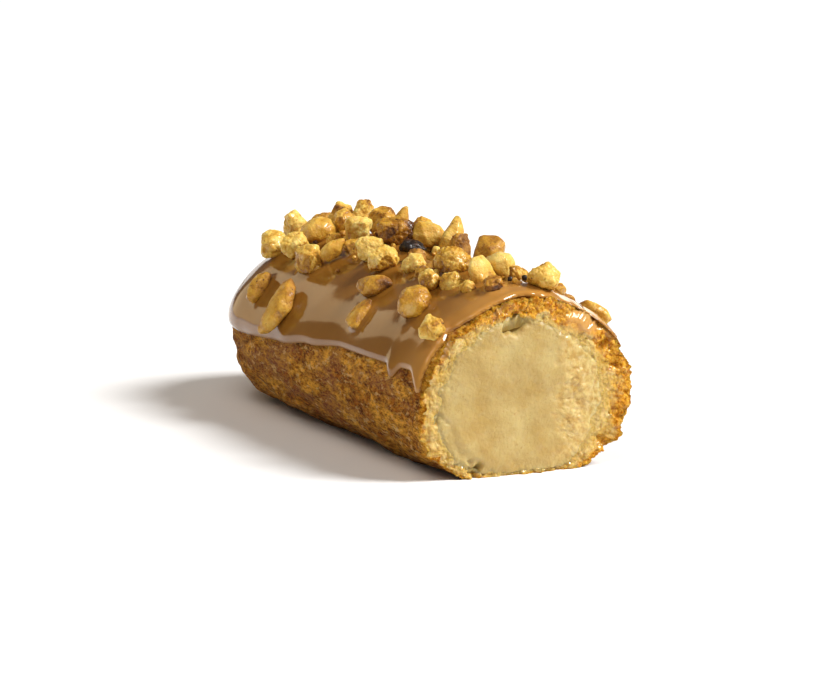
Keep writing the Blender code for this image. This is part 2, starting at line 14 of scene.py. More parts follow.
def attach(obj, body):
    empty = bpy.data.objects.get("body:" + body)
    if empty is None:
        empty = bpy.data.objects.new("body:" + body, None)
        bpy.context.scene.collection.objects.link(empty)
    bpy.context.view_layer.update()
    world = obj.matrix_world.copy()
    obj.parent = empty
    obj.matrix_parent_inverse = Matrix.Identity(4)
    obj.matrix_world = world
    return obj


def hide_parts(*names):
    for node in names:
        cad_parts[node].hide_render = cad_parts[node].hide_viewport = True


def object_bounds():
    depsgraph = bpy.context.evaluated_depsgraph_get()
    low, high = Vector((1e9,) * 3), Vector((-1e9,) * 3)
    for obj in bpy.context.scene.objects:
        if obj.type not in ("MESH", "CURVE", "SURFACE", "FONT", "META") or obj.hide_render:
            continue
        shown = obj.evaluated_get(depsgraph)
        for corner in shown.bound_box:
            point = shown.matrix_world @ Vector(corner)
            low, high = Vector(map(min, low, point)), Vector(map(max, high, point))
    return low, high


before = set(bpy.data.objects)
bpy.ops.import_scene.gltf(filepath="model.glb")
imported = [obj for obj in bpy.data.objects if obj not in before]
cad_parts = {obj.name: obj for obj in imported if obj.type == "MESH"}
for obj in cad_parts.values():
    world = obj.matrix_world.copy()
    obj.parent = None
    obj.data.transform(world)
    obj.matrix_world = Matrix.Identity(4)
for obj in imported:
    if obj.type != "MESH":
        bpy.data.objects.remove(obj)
cad_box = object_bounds()

MM = 0.001
# Points closer together than this become one
MERGE = 0.002 * MM

# Pastry, as in the solids. The underside is given for the left and the right side
LENGTH = 113 * MM
HALF_WIDTH = 24 * MM
HEIGHT = 36.0 * MM
WAIST = 16 * MM
UNDER = (18.5 * MM, 19.5 * MM)
SQUARENESS_UP = 1.75
SQUARENESS_DOWN = (2.4, 1.9)
CUT_X = LENGTH / 2
END_X = HALF_WIDTH - CUT_X

# Unevenness of the pastry
SWELL, SWELL_LENGTH = 0.7 * MM, 26 * MM
BUMP, BUMP_LENGTH = 0.45 * MM, 7.5 * MM
CRAG, CRAG_LENGTH = 1.3 * MM, 4.2 * MM
CRAG_ZONE = 2.6 * MM
BARE_TO = math.radians(14)
TORN = 0.8 * MM

# Hollow that the cream fills
HOLLOW_HALF = 16.4 * MM
HOLLOW_TOP = 29.6 * MM
HOLLOW_WAIST = 15 * MM
HOLLOW_UNDER = 14.5 * MM
HOLLOW_SQUARENESS_UP, HOLLOW_SQUARENESS_DOWN = 2.0, 2.3
HOLLOW_FLOOR = 1.1 * MM
HOLLOW_SHIFT = -2.2 * MM
HOLLOW_END_WALL = 7 * MM
HOLLOW_SET_BACK = 0.4 * MM
HOLLOW_BUMP, HOLLOW_BUMP_LENGTH = 0.8 * MM, 9 * MM
CREAM_BULGE, CREAM_BULGE_LENGTH = 0.35 * MM, 8 * MM
CREAM_BACK = 0.4 * MM
CREAM_OVERLAP = 0.25 * MM

# Torn holes in the crumb at the cut: side, elevation in degrees, share of the way to the cream,
# radius and depth in mm
TEARS = (
    (1, 26, 0.30, 3.0, 1.6),
    (1, 12, 0.25, 2.2, 1.2),
    (1, -30, 0.30, 2.2, 1.0),
    (-1, 86, 0.90, 3.0, 2.6),
    (-1, -8, 0.70, 2.4, 0.7),
    (-1, -52, 0.80, 2.6, 2.0),
)
TEAR_RAGGED, TEAR_RAGGED_LENGTH = 1.8 * MM, 2.2 * MM
FACE_SET_BACK = 0.2 * MM
# Depth at which painted shade starts to darken the crumb's holes, and over how much it grows
DEEP_FROM, DEEP_OVER = 0.35 * MM, 1.3 * MM
# Width of the toasted band as a share of the way to the cream: elevation in degrees, then the share
TOASTED_LEFT = ((-90, 0.3), (-60, 0.12), (40, 0.12), (64, 0.5), (90, 0.6))
TOASTED_RIGHT = ((-90, 0.3), (-60, 0.2), (-20, 0.3), (10, 0.42), (32, 0.55), (60, 0.5), (90, 0.6))
TOASTED_WAVES = ((2.6 * MM, 0.22), (1.0 * MM, 0.12))
TOASTED_BEFORE, TOASTED_AFTER = 0.12, 0.06
RIM_BARE, RIM_ICED, RIM_LOWERED, RIM_PULLED = 1.6 * MM, 3.4 * MM, 0.15 * MM, 4 * MM
FACE_LIMIT = CUT_X + 0.45 * MM
# Icing that has run over the torn edge: side, middle and half width in degrees, length as a share
RUNS = ((1, 48, 13, 0.75), (1, 30, 5, 0.22), (-1, 70, 6, 0.2), (-1, 30, 7, 0.2))
RUN_ROUNDING, RUN_SHARE, RUN_BACK = 1.6 * MM, 0.4, 0.1 * MM
RUN_FADE, RUN_RAGGED, RUN_RAGGED_LENGTH = (0.2, 1.2), 0.5, 1.8 * MM

# Icing
GAP = 0.3 * MM
ICING_TOP = 1.0 * MM
ICING_LIP = 1.5 * MM
# Shares of the way down where the solid's lip starts to swell and to round off, and its least share
LIP_SWELLS, LIP_ROUNDS, LIP_ROUNDING, LIP_LEAST = 0.5, 0.9, 0.105, 0.25
ICING_BACK = 2.7 * MM
ICING_NEARER = 1.6 * MM
ICING_WAVE, ICING_WAVES = 0.35 * MM, 9
FRONT_LEAST, FRONT_LENGTH = 0.35, 2.5 * MM
ICING_EDGE_GAP = 0.3 * MM
ICING_EDGE_END, ICING_EDGE_WAVE = 16.4, 0.5
ICING_EDGE_LEFT = ((-33, 16.4), (-9, 17.8), (3, 19.4), (18, 21.0), (56, 21.6))
ICING_EDGE_RIGHT = ((-33, 16.4), (-12, 19.6), (8, 20.2), (30, 22.2), (56, 24.0))
ICING_DRIPS = (
    ("left", 41.5, 1.9, 2.4),
    ("left", 53.2, 2.6, 3.6),
    ("right", 34.0, 2.6, 4.0),
    ("right", 6.0, 3.2, 3.0),
    ("right", -17.0, 2.4, 2.6),
)
ICING_SUNK = 0.15 * MM
RIPPLES = ((16 * MM, 0.3 * MM), (8 * MM, 0.12 * MM))
RIPPLE_SUNK, RIPPLE_FADE = 0.1 * MM, (0.8, 0.95)
# The finer lip of this icing: where it starts to round off, and its least share
LIP_FROM, EDGE_LEAST = 0.72, 0.15
MENISCUS, MENISCUS_REACH = 0.5 * MM, 1.5 * MM
ICING_RAGGED, ICING_RAGGED_LENGTH = 1.3 * MM, 3.2 * MM
ICING_NOSE, ICING_NOSE_RIGHT, NOSE_FADE = 1.1 * MM, 5 * MM, (0.1, 0.6)
ICING_THINNED, ICING_THINNED_LENGTH = 0.4, 5 * MM
# Pale colour of the icing near the cut: how far it reaches, and how ragged that is
THIN_LENGTH, THIN_RAGGED, THIN_RAGGED_LENGTH = 14 * MM, 4 * MM, 7 * MM

# How much longer the crust's patterns are along the eclair than across it
CRUST_STRETCH = 2.1
# Fine relief: length and depth of each layer of noise
CRUST_LAYERS = ((5.5 * MM, 0.6 * MM), (2.6 * MM, 0.45 * MM), (1.2 * MM, 0.25 * MM))
CRUMB_CLUMPS = ((3.6 * MM, 0.45 * MM), (1.6 * MM, 0.4 * MM), (0.75 * MM, 0.24 * MM))
CRUMB_EASED = 0.75
RIM_CLUMPS = ((2.2 * MM, 0.8 * MM), (0.9 * MM, 0.4 * MM))
CREAM_LAYERS = ((5.0 * MM, 0.3 * MM), (1.8 * MM, 0.1 * MM), (0.7 * MM, 0.05 * MM))
SMEAR_EDGE, SMEAR_WIDTH, SMEAR_FALL = 1.0 * MM, 1.2 * MM, 1.4 * MM
# The cream's edge is a film that follows the crumb: from where, how thick, how far it ends inside it
FILM_FROM, FILM_TO, FILM, FILM_SUNK = 2.6 * MM, 0.4 * MM, 0.5 * MM, 0.25 * MM
FILM_FADE = 0.75
SMEAR_WAVES = ((5.0 * MM, 1.7), (1.7 * MM, 0.8))
SMEAR_REACH, SMEAR_SHARE = 3.4 * MM, 0.6
PAST_RIM = SMEAR_REACH / (12 * MM)
# Broken crumb that lies over the cream on the right: where it starts, how ragged, how rough
CRUMBLED_FROM, CRUMBLED_TO = 5.5 * MM, 9.5 * MM
CRUMBLED_WAVES = ((6 * MM, 3.0 * MM), (2.2 * MM, 2.0 * MM), (1.0 * MM, 1.0 * MM))
CRUMBLED_ROUGH = 0.7

# Mesh fineness
SIDE_STEPS = 270
SHELL_STATIONS, SHELL_FAN, SHELL_POWER = 95, 44, 1.9
HOLLOW_STATIONS, HOLLOW_FAN = 8, 6
FACE_BANDS = 44
CREAM_RINGS, CREAM_POWER = 70, 0.8
ICING_STATIONS, ICING_FAN, ICING_STEPS, ICING_POWER = 190, 70, 84, 1.25
SLOPE_STEP = math.radians(1.5)
NUT_VOXEL = 0.2 * MM
CRUMB_VOXEL = 0.18 * MM
BIT_VOXEL = 0.14 * MM

# Looks of the larger nut pieces: shade from 0, pale cream, to 1, black; surface; gloss; dark end
NUT_LOOKS = {
    "half_long": (0.37, "smooth", 0.3, 0.0),
    "slab_brown": (0.42, "smooth", 0.3, 0.1),
    "chunk_back_left": (0.2, "chunk", 0.2, 0.1),
    "block_pale": (0.14, "chunk", 0.2, 0.0),
    "round_olive": (0.28, "smooth", 0.4, 0.0),
    "chunk_back_pale": (0.12, "chunk", 0.2, 0.0),
    "chunk_back_brown": (0.42, "chunk", 0.3, 0.0),
    "chunk_golden": (0.24, "chunk", 0.3, 0.4),
    "horn_golden": (0.3, "smooth", 0.3, 0.0),
    "flake_seed": (0.42, "chunk", 0.3, 0.1),
    "chunk_ridge_tan_low": (0.24, "chunk", 0.2, 0.2),
    "chunk_ridge_end": (0.18, "chunk", 0.2, 0.7),
    "chunk_ridge_cream": (0.14, "chunk", 0.2, 0.0),
    "chunk_ridge_pale": (0.18, "chunk", 0.2, 0.4),
    "chunk_ridge_tan": (0.32, "chunk", 0.2, 0.3),
    "chunk_dark": (0.46, "chunk", 0.8, 0.3),
    "pyramid_tan": (0.36, "smooth", 0.2, 0.0),
    "chunk_cream": (0.12, "chunk", 0.2, 0.0),
    "chunk_sparkling": (0.16, "crisp", 0.5, 0.1),
    "flake_burnt": (0.93, "chunk", 0.5, 0.0),
    "curved_golden": (0.26, "smooth", 0.4, 0.0),
    "strip_tan": (0.42, "chunk", 0.2, 0.0),
    "spike_golden": (0.28, "smooth", 0.3, 0.0),
    "curved_brown": (0.42, "smooth", 0.5, 0.15),
    "flake_pointed": (0.36, "smooth", 0.5, 0.1),
    "crisp_pale": (0.12, "crisp", 0.4, 0.0),
    "knob_golden": (0.34, "chunk", 0.3, 0.1),
    "cluster_olive": (0.32, "crisp", 0.6, 0.1),
    "crisp_speckled": (0.2, "crisp", 0.6, 0.6),
    "round_glassy": (0.42, "smooth", 0.9, 0.1),
    "chunk_brown": (0.46, "smooth", 0.4, 0.2),
    "flake_standing": (0.16, "smooth", 0.3, 0.0),
    "chunk_front_pale": (0.14, "smooth", 0.3, 0.0),
    "cluster_crest": (0.2, "crisp", 0.4, 0.3),
    "flake_shoulder": (0.3, "smooth", 0.3, 0.0),
    "chunk_speckled": (0.15, "chunk", 0.3, 0.3),
}
FAR_SHADES = (0.15, 0.22, 0.3, 0.36, 0.48)
NUT_SURFACES = {
    "smooth": ((2.6 * MM, 0.14 * MM), (0.8 * MM, 0.04 * MM)),
    "chunk": ((2.4 * MM, 0.2 * MM), (0.9 * MM, 0.14 * MM), (0.45 * MM, 0.07 * MM)),
    "crisp": ((2.0 * MM, 0.2 * MM), (0.7 * MM, 0.16 * MM), (0.4 * MM, 0.1 * MM)),
}
# Broken faces: how many, and the share of the piece's size that each takes off
NUT_FACES = {"smooth": (4, 0.1), "chunk": (9, 0.17), "crisp": (9, 0.15)}
FACE_TONES = (-0.08, -0.04, 0.0, 0.0, 0.06, 0.18)
# Painted shade at the foot of each nut piece: how much darker, and how high up it fades out
PAINTED_FOOT_SHADE, PAINTED_FOOT_SHADE_HEIGHT = 0.16, 2.8 * MM
NUT_CLUMPS = {
    "smooth": ((1.5 * MM, 0.06 * MM),),
    "chunk": ((2.6 * MM, 0.28 * MM), (1.1 * MM, 0.12 * MM)),
    "crisp": ((1.9 * MM, 0.22 * MM), (0.8 * MM, 0.18 * MM)),
}
NUT_SWELL = 0.32 * MM
NUT_SUNK = 0.4 * MM
# Shades added to a nut piece: dark spots, clouds, painted shade in its hollows with painted light on
# its bumps, and its dark end
SPOT_SHADE, SPOT_LENGTH, SPOT_EDGE = 0.1, 1.3 * MM, (0.32, 0.5)
CLOUD_SHADE, CLOUD_LENGTH = 0.07, 2.2 * MM
PAINTED_HOLLOW_SHADE = 0.1
DARK_END = (0.45, 0.9)
# Icing is drawn up where a nut piece comes as near to it as this
FOOT_REACH = 0.5 * MM
# Fused pieces: how far they stand out of the icing, how deep they root in it, their fewest points
CLUSTER_RAISED, CLUSTER_ROOT, CLUSTER_POINTS = 0.35 * MM, 0.7 * MM, 4

# Scattered bits: name, slot, how many are tried, seed, sizes and spread across in mm, shades
SCATTERED = (
    ("pale_crumbs", "nut_pale", 90, 21, (0.8, 2.4), 5.5, (0.05, 0.35)),
    ("brown_crumbs", "nut_brown", 30, 22, (0.6, 1.6), 6.0, (0.4, 0.85)),
)
SCATTERED_ALONG = (-40, 50)
SCATTERED_EDGE, SCATTERED_END = 2.2, 19 * MM
BIT_CORNERS, BIT_HALF, BIT_SHAPE, BIT_RAISED = 9, 0.55, (0.55, 1.0), 0.3


def smooth_step(low, high, value):
    """0 below low, 1 above high, and smooth between."""
    t = min(1.0, max(0.0, (value - low) / (high - low)))
    return t * t * (3 - 2 * t)


def wave(place, length, offset=0.0):
    """Smooth noise from about -1 to 1, with lumps of the given length."""
    return noise.noise(place / length + Vector((offset, 3.1 * offset, 7.7)))


def layered(place, layers, offset=0.0):
    """Sum of several layers of noise."""
    return sum(depth * wave(place, length, offset + i) for i, (length, depth) in enumerate(layers))


class Loaf:
    """A tube along X whose section is turned half round at its far end."""

    def __init__(self, half, top, waist, under, up, down, floor, end_x, shift=0.0):
        self.half, self.top, self.waist, self.under = half, top, waist, under
        self.up, self.down = up, down
        self.floor, self.end_x, self.shift = floor, end_x, shift

    def reach(self, turn, angle):
        """Axis to surface, at an elevation angle. turn is -90 degrees at the left, 90 at the right."""
        right = turn / math.pi + 0.5
        low = self.under[0] + (self.under[1] - self.under[0]) * right
        down = self.down[0] + (self.down[1] - self.down[0]) * right
        rise = self.top - self.waist if angle >= 0 else low
        power = self.up if angle >= 0 else down
        across = abs(math.cos(angle)) / self.half
        along = abs(math.sin(angle)) / rise
        return (across ** power + along ** power) ** (-1 / power)

    def outward(self, turn, angle):
        """Unit direction from the axis to the surface."""
        flat = math.cos(angle)
        return Vector((-math.cos(turn) * flat, math.sin(turn) * flat, math.sin(angle)))

    def point(self, x, turn, angle, lift=None):
        """Surface point of the section at x, moved out by what lift gives for it."""
        out = self.outward(turn, angle)
        axis = Vector((x, self.shift, self.waist))
        reach = self.reach(turn, angle)
        if lift is not None:
            reach += lift(axis + out * reach, angle)
        place = axis + out * reach
        place.z = max(place.z, self.floor)
        return place

    def angle_at(self, height):
        """Elevation angle at which the upper surface has this height."""
        rise = (height - self.waist) / (self.top - self.waist)
        across = self.half * max(0.0, 1 - max(0.0, rise) ** self.up) ** (1 / self.up)
        return math.atan2(height - self.waist, across)

    def locate(self, x, y):
        """Station, turn and elevation angle of the upper surface over a point in plan."""
        if x >= self.end_x:
            station, turn, across = x, math.copysign(math.pi / 2, y), abs(y)
        else:
            station, turn = self.end_x, math.atan2(y, self.end_x - x)
            across = math.hypot(self.end_x - x, y)
        share = min(0.999, across / self.half)
        rise = (self.top - self.waist) * (1 - share ** self.up) ** (1 / self.up)
        return station, turn, math.atan2(rise, across)


def hollow_loaf(inset):
    """The hollow's shape, or the cream's, which is smaller all round by the inset."""
    under = HOLLOW_UNDER - inset
    return Loaf(
        HOLLOW_HALF - inset,
        HOLLOW_TOP - inset,
        HOLLOW_WAIST,
        (under, under),
        HOLLOW_SQUARENESS_UP,
        (HOLLOW_SQUARENESS_DOWN, HOLLOW_SQUARENESS_DOWN),
        HOLLOW_FLOOR + inset,
        HOLLOW_END_WALL + HOLLOW_HALF - CUT_X,
        HOLLOW_SHIFT,
    )


PASTRY = Loaf(HALF_WIDTH, HEIGHT, WAIST, UNDER, SQUARENESS_UP, SQUARENESS_DOWN, 0.0, END_X)
HOLLOW = hollow_loaf(0)
FILLING = hollow_loaf(-CREAM_OVERLAP)


def bareness(angle):
    """1 on the bare side of the loaf, falling to 0 where the icing covers it."""
    return 1 - smooth_step(0, BARE_TO, angle)


def crust(place, angle):
    """Unevenness of the baked surface: bumps below the icing and crags at the cut rim."""
    bare = bareness(angle)
    zone = CRAG_ZONE * (0.2 + 0.8 * bare)
    rim = smooth_step(CUT_X - zone, CUT_X, place.x)
    return (
        SWELL * wave(place, SWELL_LENGTH)
        + BUMP * bare * wave(place, BUMP_LENGTH, offset=5)
        + CRAG * rim * wave(place, CRAG_LENGTH, offset=9)
    )


def rim_share(x, angle):
    """1 at the torn rim, falling to 0 where the baked skin is whole, or the icing begins."""
    zone = RIM_BARE + (RIM_ICED - RIM_BARE) * (1 - bareness(angle))
    return smooth_step(CUT_X - zone, CUT_X - 0.3 * zone, x)


def fine_crust(place, angle):
    """The baked surface with its wrinkles and, at the cut rim, its broken clumps."""
    drawn_out = Vector((place.x / CRUST_STRETCH, place.y, place.z))
    fine = layered(drawn_out, CRUST_LAYERS, 60) * smooth_step(-1.5, -1.0, angle)
    rim = rim_share(place.x, angle)
    if rim > 0:
        fine += rim * (clumps(place, RIM_CLUMPS, 70) - RIM_LOWERED)
    return crust(place, angle) + fine


def hollow_wall(place, angle):
    """Unevenness of the hollow that the cream fills."""
    return HOLLOW_BUMP * wave(place, HOLLOW_BUMP_LENGTH, offset=21)


def spread(low, high, steps, power=1.0):
    """Values from low to high, closer together near high where power is over 1."""
    return [high - (high - low) * (1 - i / steps) ** power for i in range(steps + 1)]


def ribs(end_x, cut_x, stations, fan, power=1.2):
    """Pairs of station and turn: up the left side, round the far end, down the right side."""
    xs = spread(end_x, cut_x, stations, power)
    left = [(x, -math.pi / 2) for x in reversed(xs)]
    turned = [(end_x, math.pi * (i / fan - 0.5)) for i in range(1, fan)]
    right = [(x, math.pi / 2) for x in xs]
    return left + turned + right


def elevations():
    """Angles from straight up to straight down."""
    return [math.pi / 2 - math.pi * i / SIDE_STEPS for i in range(SIDE_STEPS + 1)]


def add_grid(mesh, rows, marks=None, layers=()):
    """Adds quads between neighbouring rows of points, and stores each point's marks."""
    verts = [[mesh.verts.new(p) for p in row] for row in rows]
    if layers:
        for row, row_marks in zip(verts, marks):
            for v, values in zip(row, row_marks):
                for layer, value in zip(layers, values):
                    v[layer] = value
    for upper, lower in zip(verts, verts[1:]):
        for i in range(len(upper) - 1):
            mesh.faces.new((upper[i], upper[i + 1], lower[i + 1], lower[i]))


def finish_piece(name, mesh, material, replaced=()):
    """Cleans a closed bmesh and places it as a piece that stands for the nodes replaced."""
    bmesh.ops.remove_doubles(mesh, verts=mesh.verts, dist=MERGE)
    bmesh.ops.dissolve_degenerate(mesh, edges=mesh.edges, dist=MERGE)
    bmesh.ops.recalc_face_normals(mesh, faces=mesh.faces)
    data = bpy.data.meshes.new(name)
    mesh.to_mesh(data)
    mesh.free()
    place_piece(name, data, material, replaced)


def place_piece(name, data, material, replaced=()):
    """A smooth object from mesh data, kept inside the solids' box, riding on the body."""
    low, high = cad_box
    for v in data.vertices:
        v.co = Vector([min(max(c, a), b) for c, a, b in zip(v.co, low, high)])
    data.shade_smooth()
    data.materials.clear()
    data.materials.append(material)
    ob = bpy.data.objects.new(name, data)
    bpy.context.scene.collection.objects.link(ob)
    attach(ob, "root")
    if replaced:
        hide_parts(*replaced)


def tear_places():
    """Middle, radius and depth of each torn hole in the crumb."""
    found = []
    for side, elevation, share, radius, depth in TEARS:
        turn, angle = side * math.pi / 2, math.radians(elevation)
        outer, inner = (loaf.point(CUT_X, turn, angle) for loaf in (PASTRY, HOLLOW))
        found.append((outer.lerp(inner, share), radius * MM, depth * MM))
    return found


def warped(place, length, strength):
    """The place moved about by noise, which makes round forms ragged."""
    moves = [wave(place, length, offset) for offset in (140, 150, 160)]
    return place + Vector(moves) * strength


def clumps(place, layers, offset):
    """Relief of broken crumb: clumps of uneven height with cracks between them."""
    height = 0.0
    for i, (size, depth) in enumerate(layers):
        bent = warped(place, 0.8 * size, 0.4 * size)
        distances, middles = noise.voronoi(bent / size + Vector((offset + 5.3 * i, 2.2, 8.1)))
        crack = 1 - smooth_step(0.0, 0.3, distances[1] - distances[0])
        height += depth * (noise.noise(2.7 * middles[0]) - 0.45 * crack)
    return height


def between(knots, value, eased=False):
    """Value read off a list of pairs, straight or eased between them."""
    for (x0, y0), (x1, y1) in zip(knots, knots[1:]):
        if value <= x1 and eased:
            return y0 + (y1 - y0) * smooth_step(x0, x1, value)
        if value <= x1:
            return y0 + (y1 - y0) * (value - x0) / (x1 - x0)
    return knots[-1][1]


def toasting(turn, angle, share, place):
    """1 in the toasted band under the skin, 0 in the pale crumb."""
    width = between(TOASTED_LEFT if turn < 0 else TOASTED_RIGHT, math.degrees(angle))
    ragged = share + layered(place, TOASTED_WAVES, 190)
    return 1 - smooth_step(width - TOASTED_BEFORE, width + TOASTED_AFTER, ragged)


def run_of_icing(turn, angle, share, place):
    """1 where icing has run over the torn edge, 0 elsewhere."""
    most = 0.0
    for side, middle, half, length in RUNS:
        if side * turn > 0:
            off = (abs(math.degrees(angle) - middle) / half) ** 2 + (share / length) ** 2
            off += RUN_RAGGED * wave(place, RUN_RAGGED_LENGTH, offset=170)
            most = max(most, 1 - smooth_step(*RUN_FADE, off))
    return most


def torn(place, turn, angle, share, tears):
    """A point of the cut face with its relief, a share from 0 to 1 for the painted shade of its holes,
    and icing run over it.
    """
    run = run_of_icing(turn, angle, share, place)
    back = FACE_SET_BACK + HOLLOW_SET_BACK * share
    back += TORN * (1 - share) * max(0.0, 0.5 + wave(place, CRAG_LENGTH, offset=51))
    bent = warped(place, TEAR_RAGGED_LENGTH, TEAR_RAGGED)
    for centre, radius, depth in tears:
        back += depth * (1 - smooth_step(0.1 * radius, radius, (bent - centre).length))
    back -= clumps(place, CRUMB_CLUMPS, 80) * (1 - CRUMB_EASED * share ** 2)
    rounded = RUN_ROUNDING * max(0.0, 1 - share / RUN_SHARE) ** 1.5
    back = back * (1 - run) + run * (RUN_BACK + rounded)
    moved = Vector((min(place.x - back, FACE_LIMIT), place.y, place.z))
    # Painted shade: the further the face lies back, the darker its holes are painted
    hole_shade = min(1.0, max(0.0, (back - DEEP_FROM) / DEEP_OVER))
    return moved, hole_shade, run


def build_shell(material):
    """The baked choux with its hollow, closed at the far end."""
    mesh = bmesh.new()
    names = ("share", "hole_shade", "toasted", "run")
    layers = [mesh.verts.layers.float.new(name) for name in names]
    angles = elevations()
    tears = tear_places()
    rims = []
    for loaf, lift, stations, fan, share in (
        (PASTRY, fine_crust, SHELL_STATIONS, SHELL_FAN, 0),
        (HOLLOW, hollow_wall, HOLLOW_STATIONS, HOLLOW_FAN, 1),
    ):
        places = ribs(loaf.end_x, CUT_X, stations, fan, SHELL_POWER)
        rows = [[loaf.point(x, turn, a, lift) for a in angles] for x, turn in places]
        rims.append((rows[0], rows[-1]))
        for i in (0, -1):
            turn = places[i][1]
            pulls = [p.x - torn(p, turn, a, share, tears)[0].x for p, a in zip(rows[i], angles)]
            for (x, row_turn), row in zip(places, rows):
                if row_turn == turn and x > CUT_X - RIM_PULLED:
                    pulled = ((x - CUT_X) / RIM_PULLED + 1) ** 2
                    for p, pull in zip(row, pulls):
                        p.x -= pull * pulled
        marks = [
            [(share, 0, rim_share(x, a) * (1 - share), 0) for a in angles] for x, turn in places
        ]
        add_grid(mesh, rows, marks, layers)
    for side, (outer, inner) in zip((-1, 1), zip(*rims)):
        turn = side * math.pi / 2
        places, marks = [], []
        for i in range(FACE_BANDS + 1):
            share = i / FACE_BANDS
            places.append([])
            marks.append([])
            for a, b, angle in zip(outer, inner, angles):
                start = Vector((CUT_X, a.y, a.z))
                end = Vector((CUT_X, b.y, b.z))
                p, hole_shade, run = torn(start.lerp(end, share), turn, angle, share, tears)
                places[-1].append(p)
                marks[-1].append((share, hole_shade, toasting(turn, angle, share, p), run))
        add_grid(mesh, places, marks, layers)
    finish_piece("choux_baked", mesh, material, ["choux_shell"])


def crumbled(place):
    """1 where broken crumb lies over the cream, on the right of the cut, 0 elsewhere."""
    ragged = place.y + layered(place, CRUMBLED_WAVES, 200)
    return smooth_step(CRUMBLED_FROM, CRUMBLED_TO, ragged)


def build_cream(material):
    """The cream, which runs through the hollow and spreads over the crumb at the cut."""
    mesh = bmesh.new()
    layers = [mesh.verts.layers.float.new("crumb")]
    angles = elevations()
    behind = CUT_X - SMEAR_FALL
    rows = [
        [FILLING.point(x, turn, a, hollow_wall) for a in angles]
        for x, turn in ribs(FILLING.end_x, behind, HOLLOW_STATIONS, HOLLOW_FAN)
    ]
    add_grid(mesh, rows)
    middle = Vector((CUT_X, HOLLOW_SHIFT, HOLLOW_WAIST))
    tears = tear_places()
    for turn, tube in ((-math.pi / 2, rows[0]), (math.pi / 2, rows[-1])):
        rim = [Vector((CUT_X, p.y, p.z)) for p in tube]
        skin = [PASTRY.point(CUT_X, turn, a, crust) for a in angles]
        reach = [min(SMEAR_REACH, SMEAR_SHARE * (q - p).length) for p, q in zip(rim, skin)]
        discs, marks = [tube], [[(0,)] * len(tube)]
        for i in range(CREAM_RINGS + 1):
            disc, mark_row = [], []
            for p, q, most, angle in zip(rim, skin, reach, angles):
                along = (1 + PAST_RIM) * (1 - i / CREAM_RINGS) ** CREAM_POWER
                past = max(0.0, most * (along - 1) / PAST_RIM)
                if past > 0:
                    place = p + (q - p).normalized() * past
                    inside = -past
                else:
                    place = middle.lerp(p, along)
                    inside = (place - p).length
                bulge = CREAM_BULGE * (0.6 + wave(place, CREAM_BULGE_LENGTH, offset=41))
                bulge += layered(place, CREAM_LAYERS, 100) - CREAM_BACK
                bits = crumbled(place)
                if bits > 0:
                    bulge += CRUMBLED_ROUGH * bits * clumps(place, CRUMB_CLUMPS, 80)
                follow = 1 - smooth_step(FILM_TO, FILM_FROM, inside)
                if follow > 0:
                    crumb = torn(place, turn, angle, 1 - past / (q - p).length, tears)[0].x - CUT_X
                    edge = SMEAR_EDGE * layered(place, SMEAR_WAVES, 180)
                    cover = smooth_step(-SMEAR_WIDTH, SMEAR_WIDTH, inside + edge + 0.5 * most)
                    cover *= 1 - smooth_step(FILM_FADE, 1.0, past / most)
                    bulge += follow * (crumb + FILM * cover - FILM_SUNK - bulge)
                disc.append(place + Vector((bulge, 0, 0)))
                mark_row.append((bits,))
            discs.append(disc)
            marks.append(mark_row)
        centre = sum(p.x for p in discs[-1]) / len(discs[-1])
        for p in discs[-1]:
            p.x = centre
        add_grid(mesh, discs, marks, layers)
    finish_piece("cream", mesh, material, ["cream_filling"])


def edge_height(x, turn):
    """Height of the icing's lower edge, with its drips, at a station on one side."""
    if abs(turn) < math.pi / 2 - 0.001:
        return (ICING_EDGE_END + ICING_EDGE_WAVE * math.sin(4 * turn)) * MM
    side = "left" if turn < 0 else "right"
    knots = ICING_EDGE_LEFT if side == "left" else ICING_EDGE_RIGHT
    place = x / MM
    height = between(knots, place, eased=True)
    for drip_side, centre, width, depth in ICING_DRIPS:
        if drip_side == side:
            height -= depth * math.exp(-(((place - centre) / width) ** 2))
    return height * MM


def icing_front(angle, turn):
    """Where the icing ends short of the cut: it comes nearer to it on the right side."""
    right = 0.5 + 0.5 * math.sin(turn) * math.cos(angle)
    return CUT_X - ICING_BACK + ICING_NEARER * right + ICING_WAVE * math.sin(ICING_WAVES * angle + turn)


def icing_thickness(down, ahead):
    """Thickness by the share of the way down to the edge, and the distance from the front."""
    body = ICING_TOP + (ICING_LIP - ICING_TOP) * smooth_step(LIP_SWELLS, LIP_ROUNDS, down)
    lip = math.sqrt(max(0.0, 1 - max(0.0, (down - LIP_ROUNDS) / LIP_ROUNDING) ** 2))
    front = FRONT_LEAST + (1 - FRONT_LEAST) * smooth_step(0, FRONT_LENGTH, ahead)
    return body * max(LIP_LEAST, lip) * front


def icing_gap(angle):
    """Space between the pastry and the solid of the icing."""
    return GAP + ICING_EDGE_GAP * bareness(angle)


def icing_lift(x, turn, angle):
    """Distance from the pastry's plain form to the icing's outer face."""
    low = PASTRY.angle_at(edge_height(x, turn))
    down = (math.pi / 2 - angle) / (math.pi / 2 - low)
    ahead = max(0.0, icing_front(angle, turn) - x)
    return icing_gap(angle) + icing_thickness(min(1.0, down), ahead)


def icing_point(x, turn, angle):
    """Point of the icing's outer face."""
    lift = icing_lift(x, turn, angle)
    return PASTRY.point(x, turn, angle, lambda p, a: crust(p, a) + lift)


def icing_surface(x, y):
    """Point and normal of the icing's outer face over a point in plan."""
    station, turn, angle = PASTRY.locate(x, y)
    place = icing_point(station, turn, angle)
    radial = PASTRY.outward(turn, angle)
    above, below = (icing_point(station, turn, angle + step) for step in (SLOPE_STEP, -SLOPE_STEP))
    sideways = Vector((math.sin(turn), math.cos(turn), 0))
    normal = (above - below).cross(sideways).normalized()
    if normal.dot(radial) < 0:
        normal.negate()
    return place, normal


